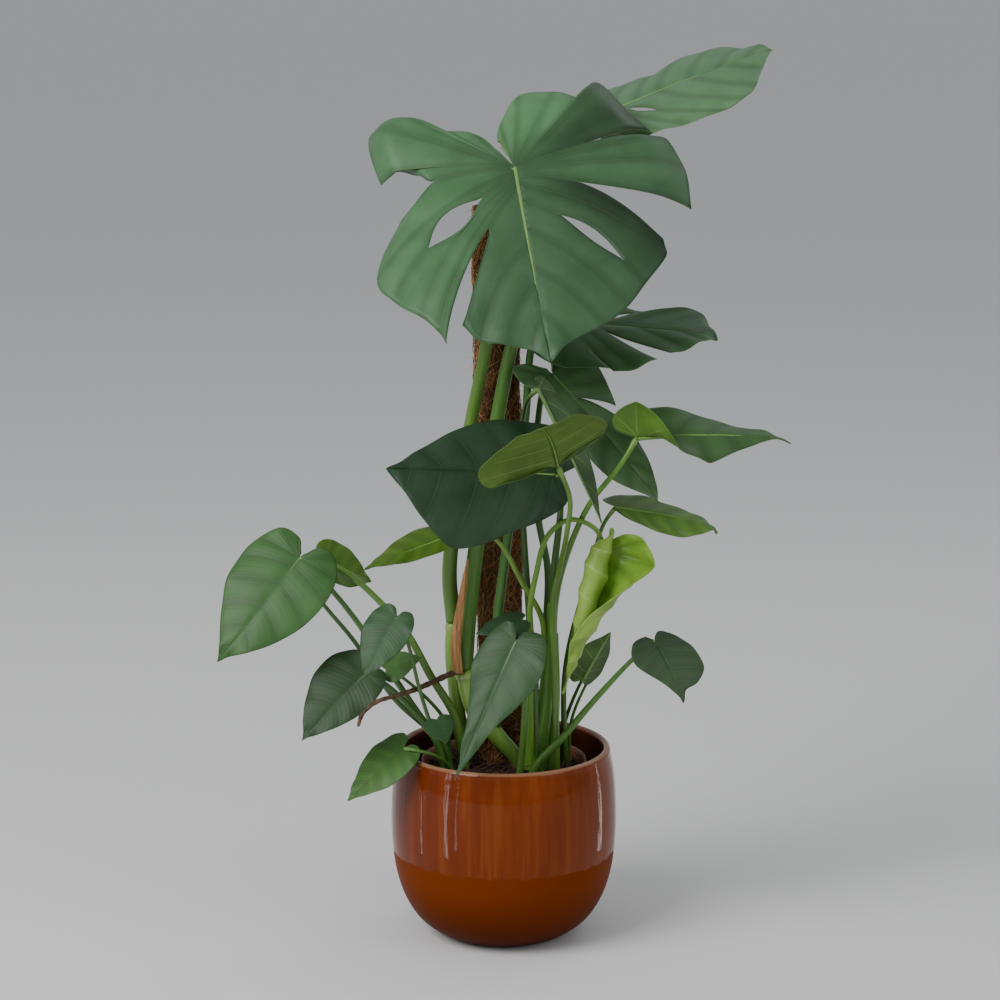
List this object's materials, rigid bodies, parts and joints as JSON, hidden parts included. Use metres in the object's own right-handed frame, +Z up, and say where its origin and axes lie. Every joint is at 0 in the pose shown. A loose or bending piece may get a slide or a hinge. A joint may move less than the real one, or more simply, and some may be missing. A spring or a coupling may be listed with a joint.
{
  "type": "potted swiss cheese plant",
  "caption": "Potted swiss cheese plant with split and heart-shaped leaves, climbing a coir pole in a round glazed ceramic pot.",
  "frame": {"origin": "middle of the glazed pot's underside, where it rests", "axes": "+Z up along the pot's axis and the plant's height, -Y towards the front of the plant, +X to the right of someone who faces its front"},
  "size_m": [0.5853, 0.4221, 0.9311],
  "materials": {
    "glaze": "glossy amber brown glaze with darker runs",
    "nursery_plastic": "thin terracotta brown moulded plastic",
    "stake_wood": "plain turned wood",
    "coir": "loose brown coconut fibre bound to a stake",
    "stem": "smooth waxy light green stem",
    "leaf": "leathery deep green leaf with a soft sheen and pale veins",
    "young_leaf": "thin fresh lime green leaf",
    "root": "rough dark brown aerial root",
    "dry_sheath": "dry papery tan sheath",
    "soil": "dark loose potting compost"
  },
  "bodies": {
    "root": {"glazed_pot": "glaze", "nursery_pot": "nursery_plastic", "pole_stake": "stake_wood", "coir_pole": "coir", "stem_lower": "stem", "stem_upper": "stem", "crown_sheaths": "stem", "aerial_root": "root", "leaf_crown": "leaf", "leaf_sail": "leaf", "leaf_rail": "leaf", "leaf_flag": "leaf", "leaf_slip": "leaf", "leaf_shade": "leaf", "leaf_underside": "leaf", "leaf_twist": "leaf", "leaf_blade": "leaf", "leaf_scroll": "young_leaf", "leaf_disc": "leaf", "leaf_cup": "leaf", "leaf_spear": "young_leaf", "leaf_front": "leaf", "leaf_tuck": "leaf", "leaf_lantern": "leaf", "leaf_wing": "leaf", "leaf_shy": "leaf", "leaf_mitten": "leaf", "leaf_shield": "leaf", "leaf_coin": "leaf", "leaf_bud": "leaf", "leaf_rim": "leaf", "leaf_lime": "young_leaf", "dry_sheath": "dry_sheath", "soil": "soil"}
  },
  "joints": []
}
